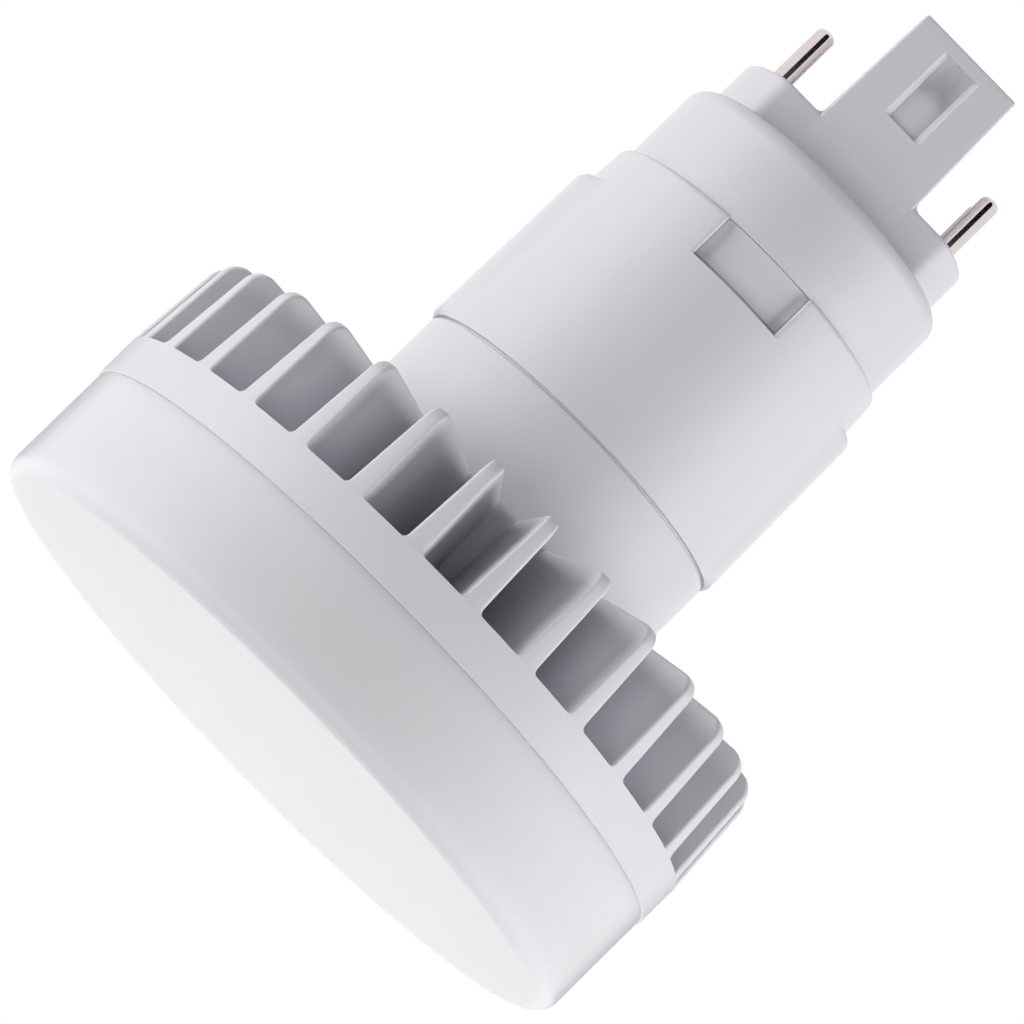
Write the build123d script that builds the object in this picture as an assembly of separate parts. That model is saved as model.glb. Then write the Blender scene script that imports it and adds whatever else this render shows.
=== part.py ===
from build123d import *
from math import hypot, radians, tan
import os

os.makedirs("parts", exist_ok=True)

# Four-pin plug-in LED lamp, in millimetres.
# The diffuser's flat face lies on z = 0, the pins point up, and the front is towards -Y.

# Diffuser cover
diffuser_height = 13.7
diffuser_step = 0.2
diffuser_wall = 1.5
diffuser_corner = 2.0
diffuser_lip_round = 0.35
spigot_wall = 1.2
spigot_end_gap = 0.7
spigot_root = 1.5
spigot_slope = 2.0

# Heat sink: ring, floor, fins and neck
ring_radius = 39.2
ring_wall = 1.7
ring_height = 4.9
ring_edge_round = 0.3
ring_fit = 0.1
floor_thickness = 2.6
fin_count = 30
fin_height = 12.7
fin_root_thickness = 2.45
fin_top_thickness = 1.95
fin_lean = 3.9
fin_corner = 2.2
fin_edge_round = 0.4
fin_foot_round = 0.7
fin_foot_sag = 0.26
fin_sunk = 0.5
heat_sink_turn = -0.97
neck_radius = 19.45
neck_wall = 1.85
neck_height = 23.65

# Driver sleeve
seam_gap = 0.3
seam_depth = 0.55
sleeve_length = 26.05
sleeve_rim_radius = 18.2
sleeve_wall = 1.6
sleeve_rim_round = 0.35
sleeve_spigot_length = 4.5
sleeve_spigot_wall = 1.3
sleeve_fit = 0.05
sleeve_bore_step = 2.0
side_pad_width = 10.0
side_pad_height = 21.3
side_pad_foot_stand = 0.48
side_pad_head_stand = 1.17
side_pad_head_round = 1.0
side_pad_edge_round = 0.45
side_pad_foot_chamfer = 0.4
window_width = 11.56
window_height = 5.5

# Base cap: cap, skirt with latch tabs, platform and post
cap_radius = 17.4
cap_height = 10.5
cap_wall = 1.6
cap_roof = 1.8
cap_edge_round = 2.0
skirt_length = 8.0
skirt_wall = 1.4
skirt_fit = 0.08
tab_stand = 0.75
tab_side_fit = 0.28
tab_end_gap = 0.35
tab_lead_in = 0.5
slit_width = 0.8
slit_length = 5.0
platform_radius = 15.4
platform_depth = 20.0
platform_height = 5.0
platform_wall = 1.8
platform_edge_round = 0.5
platform_corner_round = 2.0
post_height = 15.2
post_width = 13.5
post_taper = 1.3
post_wall = 1.8
post_edge_round = 0.3
post_foot_round = 0.7

# Recess in each wide face of the post, measured down from the post's tip
recess_width = 4.9
recess_floor_width = 3.6
recess_flare_depth = 0.8
recess_start = 1.1
recess_step_start = 4.5
recess_step_end = 6.1
recess_end = 10.4
recess_shallow = 0.7
recess_tilt = 0.35
recess_deep = 2.1
recess_back_wall = 1.5

# Contact pins
pin_radius = 1.12
pin_pitch_across = 24.0
pin_pitch_deep = 8.0
pin_stand = 7.6
pin_tip_round = 0.8
pin_collar_step = 0.22
pin_shank_length = 5.1
pin_tail_radius = 0.8
pin_tail_length = 3.0
boss_radius = 2.3
boss_length = 2.3

# Light engine
thermal_pad_thickness = 0.3
thermal_pad_inset = 0.5
led_board_thickness = 1.5
led_board_gap = 0.7
chip_ring_count = 3
chip_ring_inset = 5.5
chip_ring_step = 9.5
inner_chip_count = 6
chip_length = 3.5
chip_width = 2.8
chip_height = 0.7
chip_frame = 0.4
chip_window_depth = 0.15
screw_count = 3
screw_radius = 1.3
screw_clearance = 0.2
screw_bite = 1.8
screw_head_radius = 2.5
screw_head_height = 1.5
screw_head_round = 0.6
screw_socket_radius = 1.2
screw_socket_depth = 0.8
wire_hole_radius = 3.0
wire_hole_y = 9.5
led_wire_pitch = 3.6
led_wire_rise = 5.0

# Driver liner
liner_fit = 0.1
liner_wall = 0.8
liner_floor = 1.0
liner_end_gap = 0.75
guide_reach = 2.0
guide_thickness = 1.0
guide_fit = 0.05

# Driver board
board_face_y = 3.0
board_thickness = 1.6
board_side_gap = 1.7
board_head_gap = 5.3
board_neck_half_width = 10.0
board_shoulder_gap = 2.6
board_shoulder_slope = 2.0
lead_radius = 0.35
lead_stub = 1.0
lead_bend = 0.8

# Wires from the pins to the driver board
wire_radius = 0.7
wire_bend = 1.1
wire_drop = 3.0
wire_swing = 4.0
wire_land_x = 8.3
front_wire_land_drop = 1.5
rear_wire_land_drop = 4.5

# Components on the driver board: a rise is measured up from its foot, a drop down from its top
transformer_x = -5.0
transformer_rise = 16.4
core_width = 15.0
core_height = 12.6
core_depth = 5.0
core_lift = 4.0
core_centre_leg = 5.0
core_side_leg = 1.7
core_yoke = 2.1
coil_fit = 0.2
coil_over = 2.6
bobbin_base = 1.5
bobbin_pin_pitch = 4.0
bobbin_pin_inset = 1.0
can_crimp = 0.4
can_crimp_height = 1.6
can_edge = 0.5
can_lead_drop = 1.5
bulk_can_x = 8.0
bulk_can_rise = 23.9
bulk_can_radius = 5.0
bulk_can_length = 15.0
bulk_can_lead_pitch = 5.0
output_can_x = 9.0
output_can_rise = 3.9
output_can_radius = 4.0
output_can_length = 12.0
output_can_lead_pitch = 3.5
film_x = -7.0
film_rise = 33.8
film_width = 12.0
film_height = 8.4
film_depth = 5.5
film_edge = 0.5
film_lead_pitch = 10.0
rectifier_x = 3.2
rectifier_drop = 3.6
rectifier_width = 4.8
rectifier_height = 3.8
rectifier_depth = 2.2
rectifier_edge = 0.3
rectifier_lead_pitch = 2.6
rectifier_lead_rows = 2.4
resistor_x = 4.8
resistor_drop = 8.8
resistor_length = 6.2
resistor_radius = 1.5
resistor_lead_root = 0.5
resistor_lead_reach = 1.2
control_chip_x = -6.0
control_chip_rise = 25.8
control_chip_width = 4.9
control_chip_height = 3.6
control_chip_depth = 1.5
control_chip_stand = 0.1
toe_pitch = 1.27
toe_width = 0.4
toe_thickness = 0.3
toe_span = 5.2
inductor_x = -6.0
inductor_rise = 4.6
inductor_radius = 4.0
inductor_height = 8.0
inductor_flange = 1.2
inductor_winding_radius = 3.5
inductor_lead_pitch = 4.0

# Levels and radii that follow from the sizes above
diffuser_radius = ring_radius - diffuser_step
ring_bottom = diffuser_height
floor_level = ring_bottom + ring_height
floor_bottom = floor_level - floor_thickness
thermal_pad_bottom = floor_bottom - thermal_pad_thickness
light_face = thermal_pad_bottom - led_board_thickness
ring_bore = ring_radius - ring_wall
spigot_radius = ring_bore - ring_fit
spigot_bore = spigot_radius - spigot_wall
spigot_top = floor_bottom - spigot_end_gap
led_board_radius = spigot_bore - led_board_gap
thermal_pad_radius = led_board_radius - thermal_pad_inset
outer_chip_radius = led_board_radius - chip_ring_inset
screw_circle = outer_chip_radius - chip_ring_step / 2
fin_top = floor_level + fin_height
neck_top = floor_level + neck_height
neck_bore = neck_radius - neck_wall
seam_top = neck_top + seam_gap
sleeve_rim = seam_top + sleeve_length
side_pad_top = seam_top + side_pad_height
sleeve_slope = (sleeve_rim_radius - neck_radius) / sleeve_length
side_pad_foot_radius = neck_radius + side_pad_foot_stand
side_pad_head_radius = neck_radius + sleeve_slope * side_pad_height + side_pad_head_stand
window_floor = sleeve_rim - window_height
skirt_radius = sleeve_rim_radius - sleeve_wall - skirt_fit
skirt_bore = skirt_radius - skirt_wall
skirt_bottom = sleeve_rim - skirt_length
cap_bore = cap_radius - cap_wall
cap_top = sleeve_rim + cap_height
roof_under = cap_top - cap_roof
half_depth = platform_depth / 2
platform_top = cap_top + platform_height
platform_under = platform_top - platform_wall
post_top = platform_top + post_height
pin_tip = platform_top + pin_stand
pin_shank_radius = pin_radius - pin_collar_step
pin_shoulder = platform_top - pin_shank_length
pin_tail_end = pin_shoulder - pin_tail_length
liner_radius = neck_bore - liner_fit
liner_bore = liner_radius - liner_wall
liner_top = neck_top - sleeve_spigot_length - liner_end_gap
board_foot = floor_level + liner_floor
board_top = roof_under - board_head_gap
board_half_width = liner_bore - board_side_gap
board_shoulder = skirt_bottom - board_shoulder_gap
board_back_y = board_face_y + board_thickness
stub_end_y = board_back_y + lead_stub
pin_spots = {
    "contact_pin_front_left": (-pin_pitch_across / 2, -pin_pitch_deep / 2),
    "contact_pin_front_right": (pin_pitch_across / 2, -pin_pitch_deep / 2),
    "contact_pin_rear_left": (-pin_pitch_across / 2, pin_pitch_deep / 2),
    "contact_pin_rear_right": (pin_pitch_across / 2, pin_pitch_deep / 2),
}
overrun = 1.0


def turned(*corners):
    """Solid of revolution about Z, from corners given as radius and height."""
    return revolve(make_face(Plane.XZ * Polyline(*corners, close=True)), Axis.Z)


def rod(radius, x, y, bottom, top):
    """Upright rod at x and y."""
    return Pos(x, y, bottom) * extrude(Circle(radius), top - bottom)


def block(x_range, y_range, z_range):
    """Block that fills three ranges."""
    sizes = [end - start for start, end in (x_range, y_range, z_range)]
    middles = [(start + end) / 2 for start, end in (x_range, y_range, z_range)]
    return Pos(*middles) * Box(*sizes)


def around(piece, count, turn=0.0):
    """Copies of a piece, evenly spaced about Z."""
    return [Rot(0, 0, turn + i * 360 / count) * piece for i in range(count)]


def front_and_rear(piece):
    """A piece at the front, and its copy turned to the rear."""
    return [piece, Rot(0, 0, 180) * piece]


def save(piece, name):
    """Writes one sub-part under its own name."""
    piece.label = name
    export_step(piece, f"parts/{name}.step")


def make_diffuser():
    """Cup with a flat face and rounded corner, and a spigot that fills the ring's bore."""
    rim = ring_bottom
    outer = diffuser_radius
    inner = outer - diffuser_wall
    corner = diffuser_corner
    inner_corner = corner - diffuser_wall
    inner_flat = inner - inner_corner
    lip = diffuser_lip_round
    outline = [
        Line((0, 0), (outer - corner, 0)),
        RadiusArc((outer - corner, 0), (outer, corner), -corner),
        Line((outer, corner), (outer, rim - lip)),
        RadiusArc((outer, rim - lip), (outer - lip, rim), -lip),
        Polyline(
            (outer - lip, rim),
            (spigot_radius, rim),
            (spigot_radius, spigot_top),
            (spigot_bore, spigot_top),
            (spigot_bore, rim - spigot_root),
            (inner, rim - spigot_root - spigot_slope),
            (inner, diffuser_wall + inner_corner),
        ),
        RadiusArc((inner, diffuser_wall + inner_corner), (inner_flat, diffuser_wall), inner_corner),
        Polyline((inner_flat, diffuser_wall), (0, diffuser_wall), (0, 0)),
    ]
    return revolve(Plane.XZ * make_face(outline), Axis.Z)


def make_fin():
    """One radial fin: a drafted plate cut by the leaning, round-cornered outer surface."""
    root = fin_root_thickness / 2
    lean = tan(radians(fin_lean)) * fin_height
    start = neck_radius - fin_sunk
    slope = (fin_root_thickness - fin_top_thickness) / 2 / fin_height
    section = Plane(origin=(start, 0, floor_level), x_dir=(0, 1, 0), z_dir=(1, 0, 0))
    sunk_half = root + slope * fin_sunk
    top_half = fin_top_thickness / 2 - slope * overrun
    plate = extrude(
        section * make_face(Polyline(
            (-sunk_half, -fin_sunk),
            (sunk_half, -fin_sunk),
            (top_half, fin_height + overrun),
            (-top_half, fin_height + overrun),
            close=True,
        )),
        ring_radius + overrun - start,
    )
    corner_start = ring_radius - lean
    envelope_outline = Polyline(
        (0, floor_level - fin_sunk),
        (ring_radius, floor_level - fin_sunk),
        (ring_radius, floor_level),
        (corner_start, fin_top),
        (0, fin_top),
        close=True,
    )
    envelope_face = make_face(envelope_outline)
    tip = envelope_face.vertices().sort_by_distance((corner_start, fin_top))[0]
    envelope = revolve(Plane.XZ * fillet(tip, fin_corner), Axis.Z)
    fin = plate & envelope
    outer_edges = fin.edges().filter_by(
        lambda e: e.center().X > corner_start - fin_corner
        and abs(e.center().Y) > top_half * 0.9
        and e.center().Z > floor_level
    )
    fin = fillet(outer_edges, fin_edge_round)
    foot = fin_foot_round
    foot_half = root - slope * foot
    arc_middle = (foot_half + foot * fin_foot_sag, foot * fin_foot_sag)
    foot_side = [
        ThreePointArc((root + foot, -fin_sunk / 5), arc_middle, (foot_half - foot / 5, foot)),
        Polyline(
            (foot_half - foot / 5, foot),
            (0, foot),
            (0, -fin_sunk),
            (root + foot, -fin_sunk),
            (root + foot, -fin_sunk / 5),
        ),
    ]
    strip = extrude(section * make_face(foot_side), ring_radius + overrun - start) & envelope
    return fin + strip + mirror(strip, Plane.XZ)


def make_heat_sink():
    """Ring, floor, neck and fins as one moulding, turned a little against the base."""
    body = turned(
        (0, floor_bottom),
        (ring_bore, floor_bottom),
        (ring_bore, ring_bottom),
        (ring_radius, ring_bottom),
        (ring_radius, floor_level),
        (neck_radius, floor_level),
        (neck_radius, neck_top),
        (neck_bore, neck_top),
        (neck_bore, floor_level),
        (0, floor_level),
    )
    ring_edge = body.edges().filter_by(
        lambda e: abs(e.center().Z - ring_bottom) < 0.01 and e.length > 6.2 * ring_radius
    )
    body = fillet(ring_edge, ring_edge_round)
    body = body + around(make_fin(), fin_count, 180 / fin_count - 90 + heat_sink_turn)
    body -= rod(wire_hole_radius, 0, wire_hole_y, floor_bottom - overrun, floor_level + overrun)
    pilot = rod(screw_radius, screw_circle, 0, floor_bottom - overrun, floor_bottom + screw_bite)
    return body - around(pilot, screw_count, -90)


def make_sleeve():
    """Drafted sleeve that plugs into the neck, with two side pads and two latch windows."""
    land = neck_radius - seam_depth
    plug = neck_bore - sleeve_fit
    plug_bore = plug - sleeve_spigot_wall
    bore_foot = neck_radius - sleeve_wall
    bore_rim = sleeve_rim_radius - sleeve_wall
    body = turned(
        (plug_bore, neck_top - sleeve_spigot_length),
        (plug, neck_top - sleeve_spigot_length),
        (plug, neck_top),
        (land, neck_top),
        (land, seam_top),
        (neck_radius, seam_top),
        (sleeve_rim_radius, sleeve_rim),
        (bore_rim, sleeve_rim),
        (bore_foot, seam_top + sleeve_bore_step),
        (plug_bore, seam_top),
    )
    half_pad = side_pad_width / 2
    inner_foot = bore_foot + sleeve_wall / 2
    inner_head = bore_rim + sleeve_wall / 2
    chamfer_size = side_pad_foot_chamfer
    profile = make_face(Polyline(
        (inner_foot, seam_top),
        (side_pad_foot_radius - chamfer_size, seam_top),
        (side_pad_foot_radius, seam_top + chamfer_size),
        (side_pad_head_radius, side_pad_top),
        (inner_head, side_pad_top),
        close=True,
    ))
    head = profile.vertices().sort_by_distance((side_pad_head_radius, side_pad_top))[0]
    ring = revolve(Plane.XZ * fillet(head, side_pad_head_round), Axis.Z)
    side_pad = ring & block((0, 2 * neck_radius), (-half_pad, half_pad), (0, side_pad_top + overrun))
    side_edges = side_pad.edges().filter_by(
        lambda e: abs(abs(e.center().Y) - half_pad) < 0.01
        and e.center().X > neck_radius - sleeve_wall
        and e.length > side_pad_height / 2
    )
    side_pad = fillet(side_edges, side_pad_edge_round)
    body = body + [side_pad, Rot(0, 0, 180) * side_pad]
    half_window = window_width / 2
    opening = block(
        (-half_window, half_window),
        (-sleeve_rim_radius - 2 * overrun, 0),
        (window_floor, sleeve_rim + overrun),
    )
    body -= front_and_rear(opening)
    outer_edges = body.edges().filter_by(
        lambda e: hypot((e @ 0.5).X, (e @ 0.5).Y) > sleeve_rim_radius - sleeve_rim_round
        and (e @ 0.5).Z > window_floor + sleeve_rim_round
        and (abs((e @ 0.5).Z - sleeve_rim) < 0.01 or abs(abs((e @ 0.5).X) - half_window) < 0.01)
    )
    return fillet(outer_edges, sleeve_rim_round)


def make_recess():
    """Cutter for the front recess: flared sides, a tilted floor, a ramp and a deep end."""
    face_y = -half_depth
    shallow = face_y + recess_shallow
    side_view = Plane.YZ * make_face(Polyline(
        (face_y - overrun, post_top - recess_end),
        (shallow + recess_tilt, post_top - recess_end),
        (shallow, post_top - recess_step_end),
        (face_y + recess_deep, post_top - recess_step_start),
        (face_y + recess_deep, post_top - recess_start),
        (face_y - overrun, post_top - recess_start),
        close=True,
    ))
    half_mouth = recess_width / 2
    half_floor = recess_floor_width / 2
    plan = make_face(Polyline(
        (-half_mouth, face_y - overrun),
        (half_mouth, face_y - overrun),
        (half_mouth, face_y),
        (half_floor, face_y + recess_flare_depth),
        (half_floor, face_y + recess_deep + overrun),
        (-half_floor, face_y + recess_deep + overrun),
        (-half_floor, face_y + recess_flare_depth),
        (-half_mouth, face_y),
        close=True,
    ))
    prism = extrude(side_view, recess_width, both=True)
    return prism & (Pos(0, 0, platform_top) * extrude(plan, post_height))


def make_post(side_wall, end_wall, bottom, top):
    """Upright prism with the post's taper, inside the given walls."""
    half_foot = post_width / 2 - side_wall
    rise = tan(radians(post_taper))
    outline = Plane.XZ * make_face(Polyline(
        (-half_foot - rise * (platform_top - bottom), bottom),
        (half_foot + rise * (platform_top - bottom), bottom),
        (half_foot - rise * (top - platform_top), top),
        (-half_foot + rise * (top - platform_top), top),
        close=True,
    ))
    return extrude(outline, half_depth - end_wall, both=True)


def make_platform(inset, bottom, top):
    """Disc with flat front and rear faces, inside the given wall."""
    outline = Circle(platform_radius - inset) & Rectangle(platform_radius * 2, platform_depth - 2 * inset)
    solid = Pos(0, 0, bottom) * extrude(outline, top - bottom)
    return fillet(solid.edges().filter_by(Axis.Z), platform_corner_round)


def make_base_cap():
    """Cap with its skirt and latch tabs, the pin platform and the hollow post, as one moulding."""
    edge = cap_edge_round
    outline = [
        Polyline(
            (skirt_bore, skirt_bottom),
            (skirt_radius, skirt_bottom),
            (skirt_radius, sleeve_rim),
            (cap_radius, sleeve_rim),
            (cap_radius, cap_top - edge),
        ),
        RadiusArc((cap_radius, cap_top - edge), (cap_radius - edge, cap_top), -edge),
        Polyline(
            (cap_radius - edge, cap_top),
            (0, cap_top),
            (0, roof_under),
            (cap_bore, roof_under),
            (cap_bore, sleeve_rim + cap_wall),
            (skirt_bore, sleeve_rim),
            (skirt_bore, skirt_bottom),
        ),
    ]
    body = revolve(Plane.XZ * make_face(outline), Axis.Z)
    platform = make_platform(0, roof_under, platform_top)
    rim_edges = platform.edges().filter_by(lambda e: abs(e.center().Z - platform_top) < 0.01)
    platform = fillet(rim_edges, platform_edge_round)
    post = make_post(0, 0, roof_under, post_top)
    post_edges = post.edges().filter_by(lambda e: e.center().Z > platform_top)
    post = fillet(post_edges, post_edge_round)
    body = body + [platform, post]
    foot_edges = body.edges().filter_by(Axis.Y).filter_by(
        lambda e: abs(e.center().Z - platform_top) < 0.01 and abs(e.center().X) < post_width
    )
    body = fillet(foot_edges, post_foot_round)
    cavity = make_platform(platform_wall, roof_under - overrun, platform_under)
    housing = block(
        (-recess_width / 2 - recess_back_wall, recess_width / 2 + recess_back_wall),
        (-half_depth, -half_depth + recess_deep + recess_back_wall),
        (post_top - recess_end - recess_back_wall, post_top),
    )
    shaft = make_post(post_wall, platform_wall, roof_under - overrun, post_top - post_wall)
    bosses = [
        rod(boss_radius, x, y, platform_under - boss_length, platform_top - platform_edge_round)
        for x, y in pin_spots.values()
    ]
    body -= cavity - bosses
    body -= shaft - front_and_rear(housing)
    body -= front_and_rear(make_recess())
    body -= [rod(pin_shank_radius, x, y, skirt_bottom, pin_tip) for x, y in pin_spots.values()]
    half_tab = window_width / 2 - tab_side_fit
    tab_low = window_floor + tab_end_gap
    tab_ring = turned(
        (skirt_radius - skirt_wall / 2, tab_low),
        (skirt_radius + tab_stand - tab_lead_in, tab_low),
        (skirt_radius + tab_stand, tab_low + tab_lead_in),
        (skirt_radius + tab_stand, sleeve_rim - tab_end_gap),
        (skirt_radius - skirt_wall / 2, sleeve_rim - tab_end_gap),
    )
    tab = tab_ring & block((-half_tab, half_tab), (-cap_radius - overrun, 0), (skirt_bottom, cap_top))
    slit = block(
        (half_tab, half_tab + slit_width),
        (-cap_radius, 0),
        (skirt_bottom - overrun, skirt_bottom + slit_length),
    )
    body = body + front_and_rear(tab)
    return body - front_and_rear(slit) - front_and_rear(mirror(slit, Plane.YZ))


def make_pin(x, y):
    """Round pin with a soft tip, seated on the platform, with a thinner shank and tail below."""
    soft = pin_tip_round
    outline = [
        Polyline(
            (0, pin_tail_end),
            (pin_tail_radius, pin_tail_end),
            (pin_tail_radius, pin_shoulder),
            (pin_shank_radius, pin_shoulder),
            (pin_shank_radius, platform_top),
            (pin_radius, platform_top),
            (pin_radius, pin_tip - soft),
        ),
        RadiusArc((pin_radius, pin_tip - soft), (pin_radius - soft, pin_tip), -soft),
        Polyline((pin_radius - soft, pin_tip), (0, pin_tip), (0, pin_tail_end)),
    ]
    return Pos(x, y, 0) * revolve(Plane.XZ * make_face(outline), Axis.Z)


def make_thermal_pad():
    """Thin pad between the LED board and the heat sink's floor."""
    pad = rod(thermal_pad_radius, 0, 0, thermal_pad_bottom, floor_bottom)
    pad -= rod(wire_hole_radius, 0, wire_hole_y, light_face, floor_level)
    hole = rod(screw_radius + screw_clearance, screw_circle, 0, light_face, floor_level)
    return pad - around(hole, screw_count, -90)


def make_led_board():
    """Round metal-core board with screw holes and two wire holes."""
    board = rod(led_board_radius, 0, 0, light_face, thermal_pad_bottom)
    hole = rod(screw_radius, screw_circle, 0, light_face - overrun, floor_level)
    board -= around(hole, screw_count, -90)
    wire_holes = [
        rod(wire_radius, x, wire_hole_y, light_face - overrun, floor_level)
        for x in (-led_wire_pitch / 2, led_wire_pitch / 2)
    ]
    return board - wire_holes


def make_chips():
    """All the light-emitting packages, each with a sunk window in its face."""
    low = light_face - chip_height
    half = chip_length / 2
    chip = block((-chip_width / 2, chip_width / 2), (-half, half), (low, light_face))
    window_half = chip_width / 2 - chip_frame
    chip -= block(
        (-window_half, window_half),
        (-half + chip_frame, half - chip_frame),
        (low - overrun, low + chip_window_depth),
    )
    chips = []
    for ring in range(chip_ring_count):
        radius = outer_chip_radius - ring * chip_ring_step
        chips += around(Pos(radius, 0, 0) * chip, inner_chip_count * (chip_ring_count - ring))
    return Compound(children=chips)


def make_screws():
    """Board screws with pan heads and hexagon sockets."""
    head_low = light_face - screw_head_height
    soft = screw_head_round
    outline = [
        Polyline((0, head_low), (screw_head_radius - soft, head_low)),
        RadiusArc((screw_head_radius - soft, head_low), (screw_head_radius, head_low + soft), -soft),
        Polyline(
            (screw_head_radius, head_low + soft),
            (screw_head_radius, light_face),
            (screw_radius, light_face),
            (screw_radius, floor_bottom + screw_bite),
            (0, floor_bottom + screw_bite),
            (0, head_low),
        ),
    ]
    screw = revolve(Plane.XZ * make_face(outline), Axis.Z)
    socket = Pos(0, 0, head_low) * extrude(RegularPolygon(screw_socket_radius, 6), screw_socket_depth)
    screw = Pos(screw_circle, 0, 0) * (screw - socket)
    return Compound(children=around(screw, screw_count, -90))


def make_liner():
    """Insulating cup in the neck, with two pairs of ribs that hold the driver board's edges."""
    cup = turned(
        (0, floor_level),
        (liner_radius, floor_level),
        (liner_radius, liner_top),
        (liner_bore, liner_top),
        (liner_bore, board_foot),
        (0, board_foot),
    )
    front_rib = block(
        (board_half_width - guide_reach, liner_radius),
        (board_face_y - guide_fit - guide_thickness, board_face_y - guide_fit),
        (floor_level, liner_top),
    )
    rear_rib = block(
        (board_half_width - guide_reach, liner_radius),
        (board_back_y + guide_fit, board_back_y + guide_fit + guide_thickness),
        (floor_level, liner_top),
    )
    core = rod(liner_radius - liner_wall / 2, 0, 0, floor_level, liner_top)
    ribs = [core & front_rib, core & rear_rib]
    ribs += [mirror(rib, Plane.YZ) for rib in ribs]
    return cup + ribs - rod(wire_hole_radius, 0, wire_hole_y, floor_level - overrun, board_foot + overrun)


class DriverPart:
    """One component on the board's front face, with the holes that its leads need."""

    def __init__(self, name, solid, holes):
        self.name = name
        self.solid = solid
        self.holes = holes


def straight_lead(x, z, start_y):
    """Lead from inside a component, through the board, to a short stub behind it."""
    return Pos(x, start_y, z) * Rot(-90, 0, 0) * extrude(Circle(lead_radius), stub_end_y - start_y)


def bent_lead(start, hole):
    """Lead that leaves a component along the board, then turns into its hole at x and z."""
    x, z = hole
    path = FilletPolyline(start, (x, start[1], z), (x, stub_end_y, z), radius=lead_bend)
    return sweep(Plane(origin=path @ 0, z_dir=path % 0) * Circle(lead_radius), path=path)


def make_can(x, rise, radius, length, lead_pitch):
    """Electrolytic can that lies on the board, with a crimped end and two bent leads, and its holes."""
    foot_z = board_foot + rise
    middle_y = board_face_y - radius
    outline = Polyline(
        (0, 0),
        (radius - can_crimp, 0),
        (radius, can_crimp),
        (radius, can_crimp_height - can_crimp),
        (radius - can_crimp, can_crimp_height),
        (radius, can_crimp_height + can_crimp),
        (radius, length - can_edge),
        (radius - can_edge, length),
        (0, length),
        close=True,
    )
    can = Pos(x, middle_y, foot_z) * revolve(Plane.XZ * make_face(outline), Axis.Z)
    holes = [(x + side * lead_pitch / 2, foot_z - can_lead_drop) for side in (-1, 1)]
    leads = [bent_lead((hole[0], middle_y, foot_z + can_edge), hole) for hole in holes]
    return can + leads, holes


def make_moulded_block(x, z, width, height, depth, edge, holes):
    """Moulded block on the board, with bevelled edges and straight leads."""
    body = block(
        (x - width / 2, x + width / 2),
        (board_face_y - depth, board_face_y),
        (z - height / 2, z + height / 2),
    )
    body = chamfer(body.edges().filter_by(lambda e: e.center().Y < board_face_y - 0.01), edge)
    return body + [straight_lead(hx, hz, board_face_y - depth / 2) for hx, hz in holes]


def make_film_capacitor():
    """Film capacitor on two leads."""
    z = board_foot + film_rise
    holes = [(film_x + side * film_lead_pitch / 2, z) for side in (-1, 1)]
    solid = make_moulded_block(film_x, z, film_width, film_height, film_depth, film_edge, holes)
    return DriverPart("film_capacitor", solid, holes)


def make_transformer():
    """Core with two windows, and the coil on its bobbin round the centre leg."""
    back = board_face_y - core_lift
    front = back - core_depth
    x = transformer_x
    z = board_foot + transformer_rise
    whole_width = (x - core_width / 2, x + core_width / 2)
    whole_height = (z - core_height / 2, z + core_height / 2)
    core = block(whole_width, (front, back), whole_height)
    leg = core_centre_leg / 2
    window_end = core_width / 2 - core_side_leg
    window_half = core_height / 2 - core_yoke
    window_height_range = (z - window_half, z + window_half)
    for low, high in ((x - window_end, x - leg), (x + leg, x + window_end)):
        core -= block((low, high), (front - overrun, back + overrun), window_height_range)
    coil_end = window_end - coil_fit
    coil_half = window_half - coil_fit
    coil = block(
        (x - coil_end, x + coil_end), (front - coil_over, board_face_y), (z - coil_half, z + coil_half)
    )
    coil = fillet(coil.edges().filter_by(Axis.Z).filter_by(lambda e: e.center().Y < front), coil_over)
    base = block(whole_width, (board_face_y - bobbin_base, board_face_y), whole_height)
    coil = coil + base - block((x - leg, x + leg), (front, back), window_height_range)
    pin_row = core_height / 2 - bobbin_pin_inset
    holes = [(x + i * bobbin_pin_pitch, z + side * pin_row) for i in (-1, 0, 1) for side in (-1, 1)]
    leads = [straight_lead(hx, hz, board_face_y - bobbin_base / 2) for hx, hz in holes]
    return [
        DriverPart("transformer_core", core, []),
        DriverPart("transformer_winding", coil + leads, holes),
    ]


def make_inductor():
    """Drum inductor: a spool with its winding between two flanges."""
    z = board_foot + inductor_rise
    outline = Polyline(
        (0, 0),
        (inductor_radius, 0),
        (inductor_radius, inductor_flange),
        (inductor_winding_radius, inductor_flange),
        (inductor_winding_radius, inductor_height - inductor_flange),
        (inductor_radius, inductor_height - inductor_flange),
        (inductor_radius, inductor_height),
        (0, inductor_height),
        close=True,
    )
    turned_drum = revolve(Plane.XZ * make_face(outline), Axis.Z)
    drum = Pos(inductor_x, board_face_y, z) * Rot(90, 0, 0) * turned_drum
    holes = [(inductor_x + side * inductor_lead_pitch / 2, z) for side in (-1, 1)]
    leads = [straight_lead(hx, hz, board_face_y - inductor_flange / 2) for hx, hz in holes]
    return DriverPart("drum_inductor", drum + leads, holes)


def make_rectifiers():
    """Two bridge rectifiers side by side, each on four leads."""
    z = board_top - rectifier_drop
    half_pitch = rectifier_lead_pitch / 2
    half_rows = rectifier_lead_rows / 2
    solids = []
    holes = []
    for x in (-rectifier_x, rectifier_x):
        spots = [(x + dx, z + dz) for dx in (-half_pitch, half_pitch) for dz in (-half_rows, half_rows)]
        solids.append(make_moulded_block(
            x, z, rectifier_width, rectifier_height, rectifier_depth, rectifier_edge, spots
        ))
        holes += spots
    return DriverPart("bridge_rectifiers", Compound(children=solids), holes)


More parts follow.
